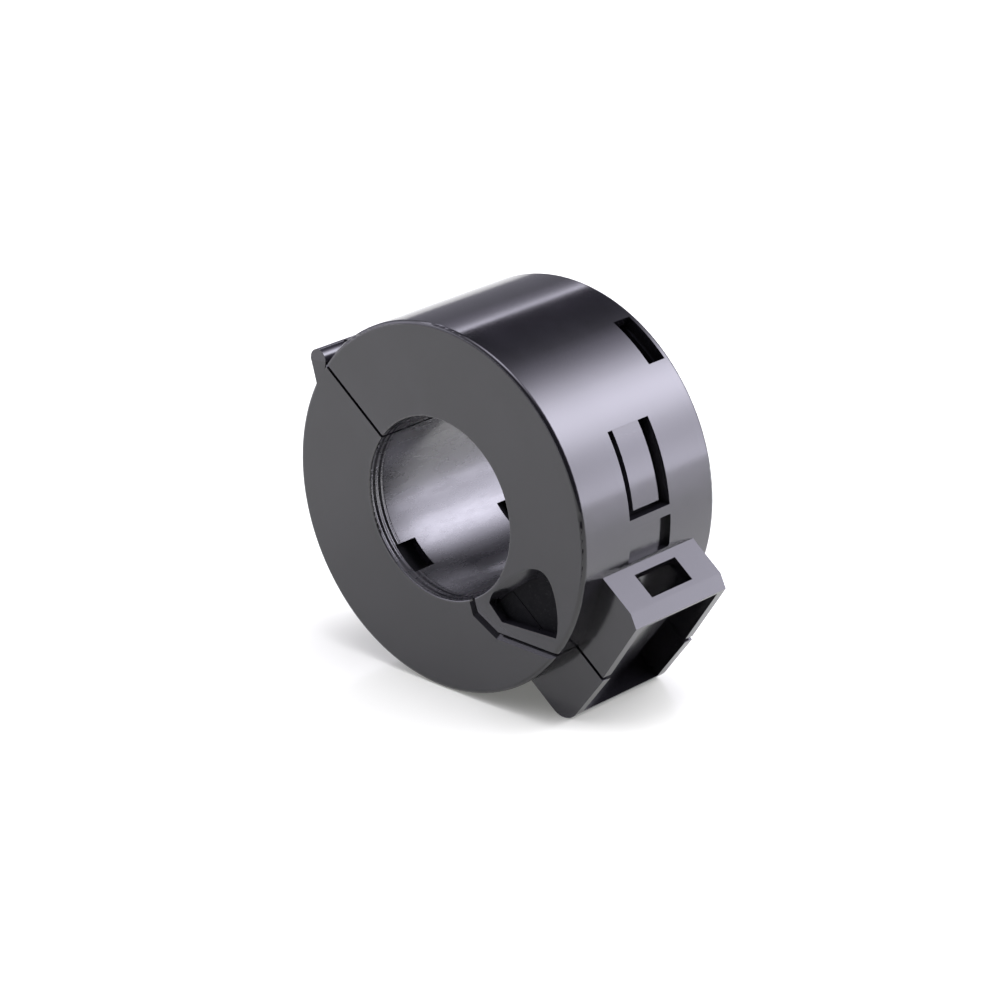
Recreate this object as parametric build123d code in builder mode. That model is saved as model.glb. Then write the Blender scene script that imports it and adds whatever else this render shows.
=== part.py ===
"""Clip-on ferrite bead: a hinged plastic case that snaps shut round a split ferrite ring.

The bore runs along Y. Sections are drawn in the clip's own axes, in which the first
coordinate runs from the hinge to the latch along the split, and the second at right
angles to it, up into the upper half.
"""
from build123d import *
from math import asin, cos, degrees, hypot, radians, sin
import os

os.makedirs("parts", exist_ok=True)

# Case: a short round drum with a bore for the cable
case_radius = 20.3
bore_radius = 10.0
case_length = 20.6
split_tilt = 36.5
outer_wall = 1.3
bore_wall = 0.9
end_wall = 1.1
rim_round = 0.45
bore_round = 0.25

# Split between the two halves
seam_gap = 0.36
seam_latch_rise = 0.55
tab_depth = 4.9
tab_width = 3.7
tab_edge_bevel = 0.5

# Ferrite core halves
core_radial_gap = 0.15
core_end_gap = 0.2
core_face_gap = 0.1
core_edge_bevel = 0.4

# Hinge: a pin on the lower half held by an open-sided knuckle on the upper half
hinge_reach = 1.0
hinge_drop = 0.4
knuckle_radius = 1.1
pin_radius = 0.55
pin_gap = 0.05
knuckle_length = 12.6
hinge_end_gap = 0.2
hinge_side_gap = 0.25
knuckle_slot = 0.9

# Latch bracket on the upper half; what stands out is measured from the drum's wall
latch_half_width = 7.15
cheek = 1.2
plate_top = 9.55
plate_thickness = 1.25
plate_bevel_start = 2.35
plate_nose = 3.9
plate_nose_drop = 0.8
plate_nose_edge = 0.3
bracket_stand_out = 4.4
slot_half_width = 3.2
slot_start = -1.3
slot_length = 3.0
ridge_stand_out = 0.7
ridge_height = 1.4

# Latch box and spring tongue on the lower half, measured the same way
box_stand_out = 4.6
box_corner_round = 2.2
box_floor = -5.8
tongue_thickness = 1.0
tongue_stand_off = 1.4
tongue_half_width = 2.7
tongue_top = 6.0
barb_gap = 0.08
barb_rise = 0.3
barb_height = 0.8
barb_slope = 1.8

# Openings in the curved walls
finger_window_low = 42.5
finger_window_high = 69.5
finger_half_width = 2.0
finger_side_gap = 1.15
finger_sink = 0.45
finger_end_gap = 2.1
channel_high = 39.5
channel_depth = 0.7
sight_window_middle = 92.0
sight_window_sweep = 17.0
sight_window_start = 7.0
sight_window_length = 2.5
bore_window_middle = -91.5
bore_window_sweep = 21.0
bore_window_front = (6.05, 3.0)
bore_window_back = (-9.05, 2.15)

# Values worked out from the sizes above
half_length = case_length / 2
cavity_radius = case_radius - outer_wall
liner_radius = bore_radius + bore_wall
cavity_half = half_length - end_wall
core_half = cavity_half - core_end_gap
hinge_out = case_radius + hinge_reach
knuckle_half = knuckle_length / 2
inner_half_width = latch_half_width - cheek
bracket_foot = seam_latch_rise + seam_gap / 2
box_top = seam_latch_rise - seam_gap / 2
far = 2 * case_radius

tilt = radians(split_tilt)
section = Plane(origin=(0, 0, 0), x_dir=(cos(tilt), 0, -sin(tilt)), z_dir=(0, -1, 0))

bracket_reach = case_radius + bracket_stand_out
box_reach = case_radius + box_stand_out
tongue_start = case_radius + tongue_stand_off
ridge_reach = case_radius + ridge_stand_out
tab_root = bore_radius + tab_width

# Pocket's outline: its straight edge along the tab, and the curve above it at rim and floor
pocket_spread = (cavity_radius - liner_radius) / 8.1
pocket_start = (liner_radius, -2.55)
pocket_corner = (tab_root - 0.4, -2.8)
pocket_tip = (cavity_radius + 0.1, 2.0)
pocket_rim = [
    (liner_radius + across * pocket_spread, up * pocket_spread)
    for across, up in ((6.4, 4.6), (2.7, 6.4), (0.4, 3.4))
]
pocket_floor = [
    (liner_radius + across * pocket_spread, up * pocket_spread)
    for across, up in ((5.9, 4.0), (3.0, 4.8), (1.3, 2.0))
]

# The latch box rests on the same floor as the drum: its rounded corner sets its underside
corner_out = box_reach - box_corner_round
box_bottom = (box_corner_round - case_radius + corner_out * sin(tilt)) / cos(tilt) - box_corner_round

# Where the seam crosses the end walls, from the hinge to the latch
end_seam = [
    (-far, 0),
    (0, 0),
    (bore_radius * 0.85, -0.73 * tab_depth),
    (bore_radius + 0.45, -tab_depth),
    (tab_root, 0.55 - tab_depth),
    (case_radius - 0.1, seam_latch_rise - 0.1),
    (far, seam_latch_rise),
]

# Where it crosses the outer wall and the bore's wall between the end walls
middle_seam = [
    (-far, 0),
    (liner_radius + 1, 0),
    (cavity_radius - 1, seam_latch_rise),
    (far, seam_latch_rise),
]


def beyond_seam(line, side, margin=0.0):
    """The whole area on one side of a seam, grown by half the seam's gap and a margin."""
    with BuildSketch() as area:
        with BuildLine():
            Polyline(*line, (far, side * far), (line[0][0], side * far), close=True)
        make_face()
        offset(amount=seam_gap / 2 + margin, kind=Kind.INTERSECTION)
    return area.sketch


def arc_band(inner, outer, start, end):
    """The piece of a ring between two radii and two angles."""
    with BuildSketch() as band:
        with BuildLine():
            low = CenterArc((0, 0), inner, start, end - start)
            high = CenterArc((0, 0), outer, start, end - start)
            Line(low @ 0, high @ 0)
            Line(low @ 1, high @ 1)
        make_face()
    return band.sketch


def hollow_drum():
    """The closed case before it is split: a drum with its bore and the core's cavity."""
    with BuildPart() as drum:
        with BuildSketch(section):
            Circle(case_radius)
        extrude(amount=half_length, both=True)
        fillet(drum.edges().filter_by(GeomType.CIRCLE), rim_round)
        with BuildSketch(section):
            Circle(bore_radius)
        extrude(amount=half_length, both=True, mode=Mode.SUBTRACT)
        rims = drum.edges().filter_by(GeomType.CIRCLE)
        fillet(rims.filter_by(lambda rim: abs(rim.radius - bore_radius) < 0.01), bore_round)
        with BuildSketch(section):
            Circle(cavity_radius)
            Circle(liner_radius, mode=Mode.SUBTRACT)
        extrude(amount=cavity_half, both=True, mode=Mode.SUBTRACT)
    return drum.part


def case_half(side):
    """One half of the drum, cut along the seam; side is 1 for the upper half."""
    with BuildPart() as half:
        add(hollow_drum())
        with BuildSketch(section):
            add(beyond_seam(middle_seam, -side))
        extrude(amount=cavity_half, both=True, mode=Mode.SUBTRACT)
        for end in (1, -1):
            with BuildSketch(section.offset(end * cavity_half)):
                add(beyond_seam(end_seam, -side))
            extrude(amount=end * 2 * end_wall, mode=Mode.SUBTRACT)
    return half.part


def hinge_arm(side):
    """The knuckle's outline with the web that carries it from the case wall."""
    root_radius = outer_wall * 0.35
    root_distance = case_radius - outer_wall / 2
    root_angle = radians(180 - side * 7.5)
    with BuildSketch() as arm:
        with Locations((-hinge_out, -hinge_drop)):
            Circle(knuckle_radius)
        with Locations((root_distance * cos(root_angle), root_distance * sin(root_angle))):
            Circle(root_radius)
        make_hull()
    return arm.sketch


def core_section(side):
    """Half of the ferrite ring's section, with its mating face just off the split."""
    with BuildSketch() as ring:
        Circle(cavity_radius - core_radial_gap)
        Circle(liner_radius + core_radial_gap, mode=Mode.SUBTRACT)
        with Locations((0, side * (far / 2 + core_face_gap / 2))):
            Rectangle(2 * far, far, mode=Mode.INTERSECT)
    return ring.sketch


# Lower case half
with BuildPart() as lower_case:
    add(case_half(-1))

    # Bevelled edge along each recess for the upper half's tabs
    for end in (1, -1):
        with BuildSketch(section.offset(end * half_length)):
            add(beyond_seam(end_seam[2:], 1, tab_edge_bevel))
        extrude(amount=-end * tab_edge_bevel, taper=45, mode=Mode.SUBTRACT)

    # Room for the upper half's knuckle, then the two ears and the pin between them
    with BuildSketch(section):
        with Locations((-hinge_out, -hinge_drop)):
            Circle(knuckle_radius + hinge_side_gap)
    extrude(amount=knuckle_half + hinge_end_gap, both=True, mode=Mode.SUBTRACT)
    for end in (1, -1):
        with BuildSketch(section.offset(end * (knuckle_half + hinge_end_gap))):
            add(hinge_arm(-1))
        extrude(amount=end * (half_length - knuckle_half - hinge_end_gap))
    with BuildSketch(section):
        with Locations((-hinge_out, -hinge_drop)):
            Circle(pin_radius)
    extrude(amount=knuckle_half + 2 * hinge_end_gap, both=True)

    # Latch box: two cheeks and a floor, open at the top and outwards
    with BuildSketch(section) as box_outline:
        with BuildLine():
            Polyline(
                (0, box_top),
                (box_reach, box_top),
                (box_reach, box_bottom),
                (0, box_bottom),
                close=True,
            )
        make_face()
        fillet(box_outline.vertices().sort_by(lambda corner: corner.X - corner.Y)[-1], box_corner_round)
        Circle(cavity_radius + outer_wall / 2, mode=Mode.SUBTRACT)
    extrude(amount=latch_half_width, both=True)
    with BuildSketch(section):
        with Locations((far / 2, box_floor)):
            Rectangle(far, far, align=(Align.CENTER, Align.MIN))
        Circle(case_radius, mode=Mode.SUBTRACT)
    extrude(amount=inner_half_width, both=True, mode=Mode.SUBTRACT)

    # Spring tongue out of the box into the bracket, its barb just clear of the catch ridge
    barb_tip = ridge_reach + barb_gap
    barb_low = bracket_foot + ridge_height + barb_rise
    barb_high = barb_low + barb_height
    with BuildSketch(section):
        with BuildLine():
            Polyline(
                (tongue_start + tongue_thickness, box_floor - 0.5),
                (tongue_start + tongue_thickness, tongue_top),
                (tongue_start + tongue_thickness / 3, tongue_top),
                (tongue_start, barb_high + barb_slope),
                (barb_tip, barb_high),
                (barb_tip, barb_low),
                (tongue_start, barb_low),
                (tongue_start, box_floor - 0.5),
                close=True,
            )
        make_face()
    extrude(amount=tongue_half_width, both=True)

    # Windows through the bore's wall, one near each end
    for start, length in (bore_window_front, bore_window_back):
        with BuildSketch(section.offset(start)):
            low = bore_window_middle - bore_window_sweep / 2
            add(arc_band(bore_radius - 1, liner_radius + 0.05, low, low + bore_window_sweep))
        extrude(amount=length, mode=Mode.SUBTRACT)
lower_case.part.label = "lower_case"
export_step(lower_case.part, "parts/lower_case.step")

# Upper case half
with BuildPart() as upper_case:
    add(case_half(1))

    # Room for the lower half's ears, then the knuckle with its slot for the pin
    for end in (1, -1):
        with BuildSketch(section.offset(end * knuckle_half)):
            with Locations((-hinge_out, -hinge_drop)):
                Circle(knuckle_radius + hinge_side_gap)
        extrude(amount=end * half_length, mode=Mode.SUBTRACT)
    with BuildSketch(section):
        add(hinge_arm(1))
        with Locations((-hinge_out, -hinge_drop)):
            Circle(pin_radius + pin_gap, mode=Mode.SUBTRACT)
        with Locations(Location((-hinge_out, -hinge_drop), 225)):
            Rectangle(2 * knuckle_radius, knuckle_slot, align=(Align.MIN, Align.CENTER), mode=Mode.SUBTRACT)
    extrude(amount=knuckle_half, both=True)

    # Latch bracket: two cheeks under a bevelled plate, open below and outwards
    nose_out = case_radius + plate_nose
    nose_top = plate_top - plate_nose_drop
    nose_low = nose_top - plate_nose_edge
    with BuildSketch(section):
        with BuildLine():
            Polyline(
                (0, bracket_foot),
                (bracket_reach, bracket_foot),
                (nose_out, nose_top),
                (case_radius + plate_bevel_start, plate_top),
                (0, plate_top),
                close=True,
            )
        make_face()
        Circle(cavity_radius + outer_wall / 2, mode=Mode.SUBTRACT)
    extrude(amount=latch_half_width, both=True)
    with BuildSketch(section):
        with BuildLine():
            Polyline(
                (0, 0),
                (far, 0),
                (far, nose_low),
                (nose_out, nose_low),
                (case_radius + plate_bevel_start, plate_top - plate_thickness),
                (0, plate_top - plate_thickness),
                close=True,
            )
        make_face()
        Circle(case_radius, mode=Mode.SUBTRACT)
    extrude(amount=inner_half_width, both=True, mode=Mode.SUBTRACT)

    # Catch ridge on the drum's wall inside the bracket
    with BuildSketch(section):
        with BuildLine():
            Polyline(
                (0, bracket_foot),
                (case_radius + ridge_stand_out / 3, bracket_foot),
                (ridge_reach, bracket_foot + ridge_height / 2),
                (ridge_reach, bracket_foot + ridge_height),
                (0, bracket_foot + ridge_height),
                close=True,
            )
        make_face()
        Circle(cavity_radius + outer_wall / 2, mode=Mode.SUBTRACT)
    extrude(amount=inner_half_width, both=True)

    # Slot through the plate, and the channel that leads down to it
    with BuildSketch(section):
        with Locations((case_radius + slot_start, plate_top + 1)):
            Rectangle(slot_length, plate_thickness + 1.5, align=(Align.MIN, Align.MAX))
    extrude(amount=slot_half_width, both=True, mode=Mode.SUBTRACT)
    channel_radius = case_radius - channel_depth
    channel_low = degrees(asin(plate_top / channel_radius))
    with BuildSketch(section):
        add(arc_band(channel_radius, case_radius + 1, channel_low, channel_high))
    extrude(amount=slot_half_width, both=True, mode=Mode.SUBTRACT)

    # Window in the curved wall with a sunk finger left standing in it
    with BuildSketch(section):
        add(arc_band(cavity_radius - 0.5, case_radius + 1, finger_window_low, finger_window_high))
    extrude(amount=finger_half_width + finger_side_gap, both=True, mode=Mode.SUBTRACT)
    with BuildSketch(section):
        finger_low = finger_window_low + finger_end_gap
        add(arc_band(cavity_radius, case_radius - finger_sink, finger_low, finger_window_high + 1))
    extrude(amount=finger_half_width, both=True)

    # Sight window near the back rim
    with BuildSketch(section.offset(-sight_window_start)):
        low = sight_window_middle - sight_window_sweep / 2
        add(arc_band(cavity_radius - 0.05, case_radius + 1, low, low + sight_window_sweep))
    extrude(amount=-sight_window_length, mode=Mode.SUBTRACT)

    # Pocket in each end wall above the tab: sharp along the tab, with a sloped side above
    for end in (1, -1):
        for depth, curve in ((0, pocket_rim), (end_wall + 0.01, pocket_floor)):
            with BuildSketch(section.offset(end * (half_length - depth))):
                with BuildLine():
                    Polyline(pocket_start, pocket_corner, pocket_tip)
                    Spline(pocket_tip, *curve, pocket_start)
                make_face()
        loft(mode=Mode.SUBTRACT)
upper_case.part.label = "upper_case"
export_step(upper_case.part, "parts/upper_case.step")

# Ferrite core halves
with BuildPart() as lower_core:
    with BuildSketch(section):
        add(core_section(-1))
    extrude(amount=core_half, both=True)
    chamfer(lower_core.edges().filter_by(GeomType.CIRCLE), core_edge_bevel)
lower_core.part.label = "lower_core"
export_step(lower_core.part, "parts/lower_core.step")

with BuildPart() as upper_core:
    with BuildSketch(section):
        add(core_section(1))
    extrude(amount=core_half, both=True)
    chamfer(upper_core.edges().filter_by(GeomType.CIRCLE), core_edge_bevel)
upper_core.part.label = "upper_core"
export_step(upper_core.part, "parts/upper_core.step")

for piece in (lower_case.part, upper_case.part, lower_core.part, upper_core.part):
    print(piece.label, len(piece.solids()), "solid,", round(piece.volume), "mm3")
hinge = section.from_local_coords((-hinge_out, -hinge_drop, 0))
print("hinge axis at", round(hinge.X, 3), round(hinge.Z, 3))
ridge_swing = hypot(ridge_reach + hinge_out, bracket_foot + ridge_height + hinge_drop)
barb_swing = hypot(barb_tip + hinge_out, barb_low + hinge_drop)
print("barb clears the ridge by", round(barb_swing - ridge_swing, 3))
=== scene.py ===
"""Looks for the clip-on ferrite bead: glossy black plastic, dull ferrite, a white studio."""

import math

import bpy
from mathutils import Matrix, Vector


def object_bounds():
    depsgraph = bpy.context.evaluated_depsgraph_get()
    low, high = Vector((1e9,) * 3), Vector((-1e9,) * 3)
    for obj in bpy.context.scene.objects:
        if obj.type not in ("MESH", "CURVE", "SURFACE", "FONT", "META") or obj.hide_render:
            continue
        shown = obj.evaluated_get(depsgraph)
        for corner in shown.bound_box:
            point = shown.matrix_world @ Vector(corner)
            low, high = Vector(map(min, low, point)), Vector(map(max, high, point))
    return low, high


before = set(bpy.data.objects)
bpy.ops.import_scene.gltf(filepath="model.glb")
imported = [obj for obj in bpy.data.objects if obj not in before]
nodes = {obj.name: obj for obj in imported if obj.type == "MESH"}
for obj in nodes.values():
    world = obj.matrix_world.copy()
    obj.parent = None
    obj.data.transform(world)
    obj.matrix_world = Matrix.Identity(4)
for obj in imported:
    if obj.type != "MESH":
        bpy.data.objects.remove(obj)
cad_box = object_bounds()
scene = bpy.context.scene

MM = 0.001

# Camera, measured from the photograph: 1000 x 1000 pixels, in the drum's own frame
IMAGE_SIZE = 1000
FOCAL_PIXELS = 3961.0
CAMERA_AZIMUTH = math.radians(42.528)
CAMERA_ELEVATION = math.radians(22.322)
CAMERA_DISTANCE = 420 * MM
AIM_RIGHT = -0.510 * MM
AIM_UP = -1.925 * MM
SENSOR_WIDTH = 36.0
CLIP_NEAR = 0.01
CLIP_FAR = 10

# Colours, as linear values
STUDIO_TINT = (0.95, 0.925, 1.09)
PLASTIC = (0.0062, 0.0060, 0.0072)
PLASTIC_WORN = (0.020, 0.019, 0.023)
# Ferrite's own dark grey, darkened further as painted shade for the shade that falls inside the
# case
FERRITE_WITH_PAINTED_SHADE = (0.006, 0.006, 0.007)
FERRITE_SPECK = (0.018, 0.018, 0.019)

# Studio: each glow has its azimuth and elevation in degrees, its tightness and its radiance
GLOW_BEHIND_RIGHT = (57, 33, 21, 13.4)
GLOW_LOW_RIGHT = (45, 0, 25, 7.8)
GLOW_OVERHEAD = (0, 90, 20, 9.5)
GLOW_FRONT_LEFT = (-150, 20, 9, 3.0)
CARD_TILT = 136.7
CARD_RADIANCE = 0.33
CARD_EDGE_RADIANCE = 7.5
CARD_EDGE_WIDTH = 0.035
ROOM_RADIANCE = 0.06
BACKDROP_RADIANCE = 1.2

# Floor
FLOOR_HALF_WIDTH = 2.0
FLOOR_COLOUR = (0.84, 0.86, 0.74)
FLOOR_ROUGHNESS = 0.25
FLOOR_GLOW_COLOUR = (1, 1, 0.97)
FLOOR_GLOW = 0.15

# Plastic: scales count features in each metre
MOTTLE_SCALE = 180
GRAIN_SCALE = 5200
FLOW_SCALE = 60
STREAK_SCALE = 700
STREAK_STRETCH = (1, 0.25, 1)
MOTTLE_WEAR = (0, 0.3)
MOTTLE_DEPTH = 0.08 * MM
GRAIN_DEPTH = 0.01 * MM
RELIEF = 0.05
WORN_EDGE = (0.53, 0.62)
WALL_ROUGHNESS = (0.12, 0.16)
BORE_ROUGHNESS = (0.23, 0.33)
WALL_TO_BORE_SPECULAR = (0.5, 0.85)
PLASTIC_IOR = 1.49

# The bore and the turned lines inside its front lip
BORE_RADIUS = 10 * MM
BORE_EDGE = (BORE_RADIUS + 0.05 * MM, BORE_RADIUS + 0.25 * MM)
LIP_LINES_END = (-8.4 * MM, -8.2 * MM)
LIP_LINE_PITCH = 0.8 * MM
LIP_LINE_DEPTH = 0.05 * MM

# Ferrite
SPECK_SCALE = 3800
PORE_SCALE = 1400
SPECK_SHARE = (0.55, 0.75)
PORE_DEPTH = 0.05 * MM
PORE_RELIEF = 0.3
FERRITE_ROUGHNESS = (0.55, 0.75)
FERRITE_SPECULAR = 0.05

# Where noise mostly lies, and where a coarser noise does
NOISE_RANGE = (0.3, 0.7)
COARSE_RANGE = (0.35, 0.7)


def direction(azimuth, elevation):
    """A unit vector from degrees round from +X towards +Y, and up."""
    a, e = math.radians(azimuth), math.radians(elevation)
    return Vector((math.cos(a) * math.cos(e), math.sin(a) * math.cos(e), math.sin(e)))


def camera_axes():
    """The unit vectors out of the camera's back, to its right and up."""
    azimuth, elevation = CAMERA_AZIMUTH, CAMERA_ELEVATION
    back = Vector((
        math.sin(azimuth) * math.cos(elevation),
        -math.cos(azimuth) * math.cos(elevation),
        math.sin(elevation),
    ))
    right = Vector((math.cos(azimuth), math.sin(azimuth), 0))
    return back, right, right.cross(-back)


def make_camera():
    back, right, up = camera_axes()
    data = bpy.data.cameras.new("photo_camera")
    data.sensor_width = SENSOR_WIDTH
    data.lens = FOCAL_PIXELS * SENSOR_WIDTH / IMAGE_SIZE
    data.clip_start = CLIP_NEAR
    data.clip_end = CLIP_FAR
    camera = bpy.data.objects.new("photo_camera", data)
    scene.collection.objects.link(camera)
    camera.location = right * AIM_RIGHT + up * AIM_UP + back * CAMERA_DISTANCE
    camera.rotation_mode = "QUATERNION"
    camera.rotation_quaternion = (-back).to_track_quat("-Z", "Y")
    scene.camera = camera


class Nodes:
    """Short calls that build a node tree."""

    def __init__(self, tree):
        self.tree = tree

    def add(self, kind, **values):
        node = self.tree.nodes.new(kind)
        for key, value in values.items():
            setattr(node, key, value)
        return node

    def link(self, source, socket):
        self.tree.links.new(source, socket)

    def put(self, value, socket):
        """Sets a socket to a number, or joins another node's output to it."""
        if isinstance(value, (int, float)):
            socket.default_value = value
        else:
            self.link(value, socket)

    def maths(self, operation, *values):
        node = self.add("ShaderNodeMath", operation=operation)
        for socket, value in zip(node.inputs, values):
            self.put(value, socket)
        return node.outputs[0]


class Studio(Nodes):
    """The room that lights the bead, as radiance by direction: soft glows and one lit card."""

    def __init__(self):
        world = bpy.data.worlds.new("studio")
        scene.world = world
        world.use_nodes = True
        super().__init__(world.node_tree)
        self.tree.nodes.clear()
        self.towards = self.add("ShaderNodeTexCoord").outputs["Generated"]
        self.total = ROOM_RADIANCE

    def along(self, axis):
        """How far the direction looked in leans towards an axis, from -1 to 1."""
        node = self.add("ShaderNodeVectorMath", operation="DOT_PRODUCT")
        self.link(self.towards, node.inputs[0])
        node.inputs[1].default_value = axis
        return node.outputs["Value"]

    def gather(self, radiance):
        self.total = self.maths("ADD", self.total, radiance)

    def glow(self, azimuth, elevation, tightness, radiance):
        """A round glow that falls off as a bell curve round its middle."""
        short = self.maths("SUBTRACT", self.along(direction(azimuth, elevation)), 1.0)
        bell = self.maths("EXPONENT", self.maths("MULTIPLY", short, tightness))
        self.gather(self.maths("MULTIPLY", bell, radiance))

    def card(self, tilt, radiance, edge_radiance, edge_width):
        """A dim card over the half of the room past an edge along Y, bright at that edge."""
        angle = math.radians(tilt)
        past = self.along((-math.sin(angle), 0, math.cos(angle)))
        lit = self.maths("GREATER_THAN", past, 0.0)
        fade = self.maths("EXPONENT", self.maths("MULTIPLY", past, -1 / edge_width))
        fade = self.maths("MINIMUM", fade, 1.0)
        shade = self.maths("ADD", self.maths("MULTIPLY", fade, edge_radiance), radiance)
        self.gather(self.maths("MULTIPLY", shade, lit))

    def finish(self):
        """Joins the room's light to the world, behind a white backdrop for the camera alone."""
        room, backdrop = self.add("ShaderNodeBackground"), self.add("ShaderNodeBackground")
        choose, output = self.add("ShaderNodeMixShader"), self.add("ShaderNodeOutputWorld")
        room.inputs["Color"].default_value = (*STUDIO_TINT, 1)
        self.link(self.total, room.inputs["Strength"])
        backdrop.inputs["Color"].default_value = (1, 1, 1, 1)
        backdrop.inputs["Strength"].default_value = BACKDROP_RADIANCE
        self.link(self.add("ShaderNodeLightPath").outputs["Is Camera Ray"], choose.inputs[0])
        self.link(room.outputs[0], choose.inputs[1])
        self.link(backdrop.outputs[0], choose.inputs[2])
        self.link(choose.outputs[0], output.inputs["Surface"])


def make_studio():
    """A strong glow behind on the right, with weaker ones, and a card on the left."""
    studio = Studio()
    for glow in (GLOW_BEHIND_RIGHT, GLOW_LOW_RIGHT, GLOW_OVERHEAD, GLOW_FRONT_LEFT):
        studio.glow(*glow)
    studio.card(CARD_TILT, CARD_RADIANCE, CARD_EDGE_RADIANCE, CARD_EDGE_WIDTH)
    studio.finish()


def make_floor():
    """A wide white floor at the lowest point of the bead, with a faint light of its own."""
    low = cad_box[0].z
    half = FLOOR_HALF_WIDTH
    mesh = bpy.data.meshes.new("floor")
    corners = [(-half, -half, low), (half, -half, low), (half, half, low), (-half, half, low)]
    mesh.from_pydata(corners, [], [(0, 1, 2, 3)])
    floor = bpy.data.objects.new("floor", mesh)
    scene.collection.objects.link(floor)
    material = bpy.data.materials.new("floor_white")
    material.use_nodes = True
    shader = material.node_tree.nodes["Principled BSDF"]
    shader.inputs["Base Color"].default_value = (*FLOOR_COLOUR, 1)
    shader.inputs["Roughness"].default_value = FLOOR_ROUGHNESS
    shader.inputs["Emission Color"].default_value = (*FLOOR_GLOW_COLOUR, 1)
    shader.inputs["Emission Strength"].default_value = FLOOR_GLOW
    mesh.materials.append(material)


class Finish(Nodes):
    """A material that starts from the shader and is built up by short calls."""

    def __init__(self, name):
        self.material = bpy.data.materials.new(name)
        self.material.use_nodes = True
        super().__init__(self.material.node_tree)
        self.shader = self.tree.nodes["Principled BSDF"]
        self.place = self.add("ShaderNodeTexCoord").outputs["Object"]

    def set(self, name, value):
        self.put(value, self.shader.inputs[name])

    def noise(self, scale, detail, roughness=0.5, stretch=(1, 1, 1)):
        """Noise by place on the object; scale counts features in each metre."""
        place = self.add("ShaderNodeMapping")
        place.inputs["Scale"].default_value = stretch
        self.link(self.place, place.inputs["Vector"])
        node = self.add("ShaderNodeTexNoise")
        node.inputs["Scale"].default_value = scale
        node.inputs["Detail"].default_value = detail
        node.inputs["Roughness"].default_value = roughness
        self.link(place.outputs[0], node.inputs["Vector"])
        return node.outputs["Fac"]

    def spread(self, source, span, to):
        """Maps a value from one range to another, clamped."""
        node = self.add("ShaderNodeMapRange")
        for name, value in zip(("From Min", "From Max", "To Min", "To Max"), (*span, *to)):
            node.inputs[name].default_value = value
        self.link(source, node.inputs["Value"])
        return node.outputs["Result"]

    def mix(self, factor, first, second):
        """The first colour where the factor is 0, the second where it is 1."""
        node = self.add("ShaderNodeMix", data_type="RGBA")
        self.link(factor, node.inputs["Factor"])
        for socket, value in zip(node.inputs[6:8], (first, second)):
            if isinstance(value, tuple):
                socket.default_value = (*value, 1)
            else:
                self.link(value, socket)
        return node.outputs[2]

    def blend(self, factor, first, second):
        """The first value where the factor is 0, the second where it is 1."""
        node = self.add("ShaderNodeMix")
        sockets = (node.inputs["Factor"], *node.inputs[2:4])
        for socket, value in zip(sockets, (factor, first, second)):
            self.link(value, socket)
        return node.outputs[0]

    def worn_edges(self):
        """1 along sharp outward edges, 0 on flats."""
        pointiness = self.add("ShaderNodeNewGeometry").outputs["Pointiness"]
        return self.spread(pointiness, WORN_EDGE, (0, 1))

    def in_bore(self):
        """1 on the wall of the bore, 0 from a little outside it."""
        off_axis = self.add("ShaderNodeVectorMath", operation="MULTIPLY")
        off_axis.inputs[1].default_value = (1, 0, 1)
        self.link(self.place, off_axis.inputs[0])
        length = self.add("ShaderNodeVectorMath", operation="LENGTH")
        self.link(off_axis.outputs[0], length.inputs[0])
        return self.spread(length.outputs["Value"], BORE_EDGE, (1, 0))

    def lip_lines(self, bore):
        """Fine turned lines round the bore, near its front end alone."""
        parts = self.add("ShaderNodeSeparateXYZ")
        self.link(self.place, parts.inputs[0])
        near = self.spread(parts.outputs["Y"], LIP_LINES_END, (1, 0))
        turns = self.maths("MULTIPLY", parts.outputs["Y"], math.tau / LIP_LINE_PITCH)
        wave = self.maths("SINE", turns)
        return self.maths("MULTIPLY", self.maths("MULTIPLY", wave, near), bore)

    def bump(self, height, strength, distance, under=None):
        node = self.add("ShaderNodeBump")
        node.inputs["Strength"].default_value = strength
        node.inputs["Distance"].default_value = distance
        self.link(height, node.inputs["Height"])
        if under is not None:
            self.link(under, node.inputs["Normal"])
        return node.outputs["Normal"]


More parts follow.
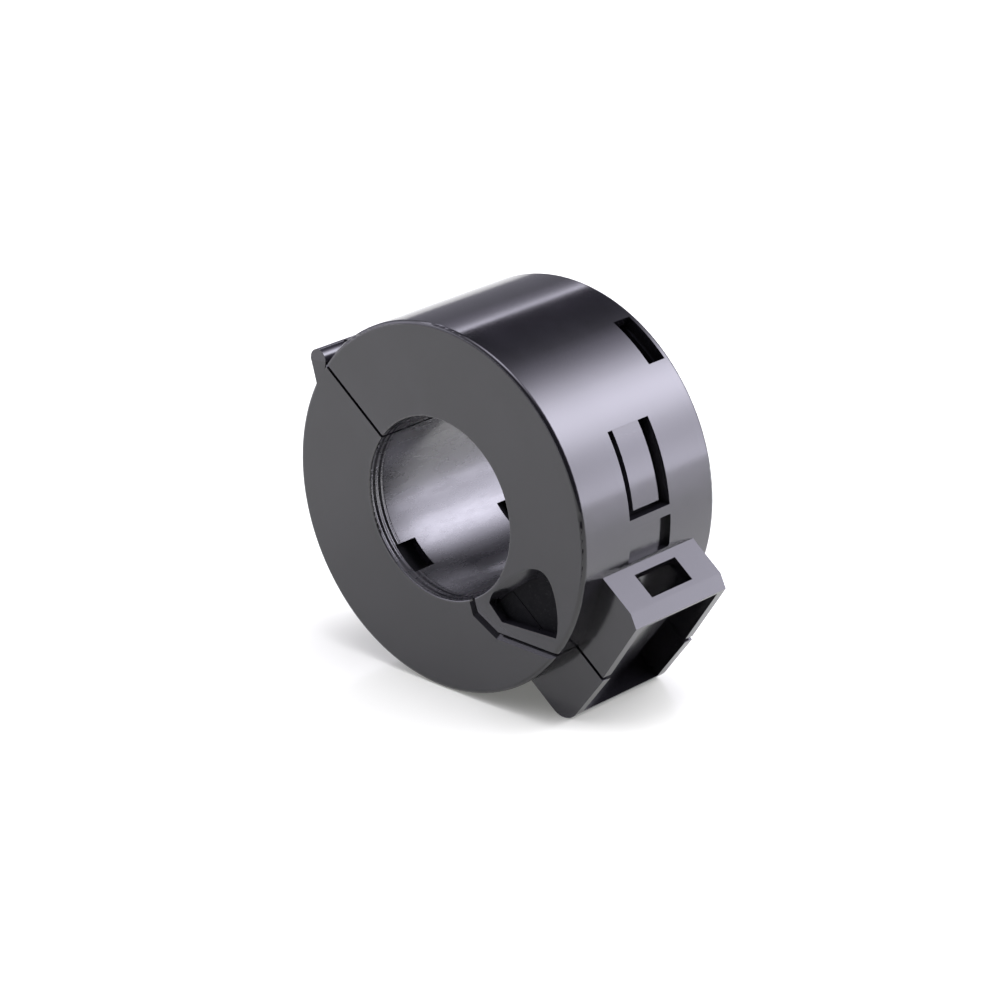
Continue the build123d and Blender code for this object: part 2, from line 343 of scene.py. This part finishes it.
def plastic(name):
    """Moulded nylon: semi-gloss black, paler along its edges, with a duller, streaked bore."""
    finish = Finish(name)
    mottle = finish.noise(MOTTLE_SCALE, 4.0, 0.6)
    grain = finish.noise(GRAIN_SCALE, 2.0)
    flow = finish.noise(FLOW_SCALE, 2.0)
    streaks = finish.noise(STREAK_SCALE, 5.0, 0.65, STREAK_STRETCH)
    bore = finish.in_bore()

    base = finish.mix(finish.spread(mottle, COARSE_RANGE, MOTTLE_WEAR), PLASTIC, PLASTIC_WORN)
    finish.set("Base Color", finish.mix(finish.worn_edges(), base, PLASTIC_WORN))

    on_walls = finish.spread(flow, NOISE_RANGE, WALL_ROUGHNESS)
    in_the_bore = finish.spread(streaks, COARSE_RANGE, BORE_ROUGHNESS)
    finish.set("Roughness", finish.blend(bore, on_walls, in_the_bore))
    finish.set("Specular IOR Level", finish.spread(bore, (0, 1), WALL_TO_BORE_SPECULAR))
    finish.set("IOR", PLASTIC_IOR)

    soft = finish.bump(mottle, RELIEF, MOTTLE_DEPTH)
    fine = finish.bump(grain, RELIEF, GRAIN_DEPTH, soft)
    finish.set("Normal", finish.bump(finish.lip_lines(bore), 1.0, LIP_LINE_DEPTH, fine))
    return finish.material


def ferrite(name):
    """Ground ferrite with fine pores: dull, and nearly black, darker than real ferrite as
    painted shade for the shade inside the case.
    """
    finish = Finish(name)
    specks = finish.noise(SPECK_SCALE, 3.0, 0.7)
    pores = finish.noise(PORE_SCALE, 4.0, 0.6)
    speckled = finish.spread(specks, SPECK_SHARE, (0, 1))
    # The base colour is darker than real ferrite: painted shade for the shade inside the case,
    # with the ferrite's own random specks over it
    finish.set("Base Color", finish.mix(speckled, FERRITE_WITH_PAINTED_SHADE, FERRITE_SPECK))
    finish.set("Roughness", finish.spread(pores, NOISE_RANGE, FERRITE_ROUGHNESS))
    finish.set("Specular IOR Level", FERRITE_SPECULAR)
    finish.set("Normal", finish.bump(pores, PORE_RELIEF, PORE_DEPTH))
    return finish.material


def dress(node, material):
    slots = nodes[node].data.materials
    slots.clear()
    slots.append(material)


scene.view_settings.view_transform = "Standard"
make_camera()
make_studio()
make_floor()

dress("lower_case", plastic("case_plastic_lower"))
dress("upper_case", plastic("case_plastic_upper"))
dress("lower_core", ferrite("ferrite_lower"))
dress("upper_core", ferrite("ferrite_upper"))
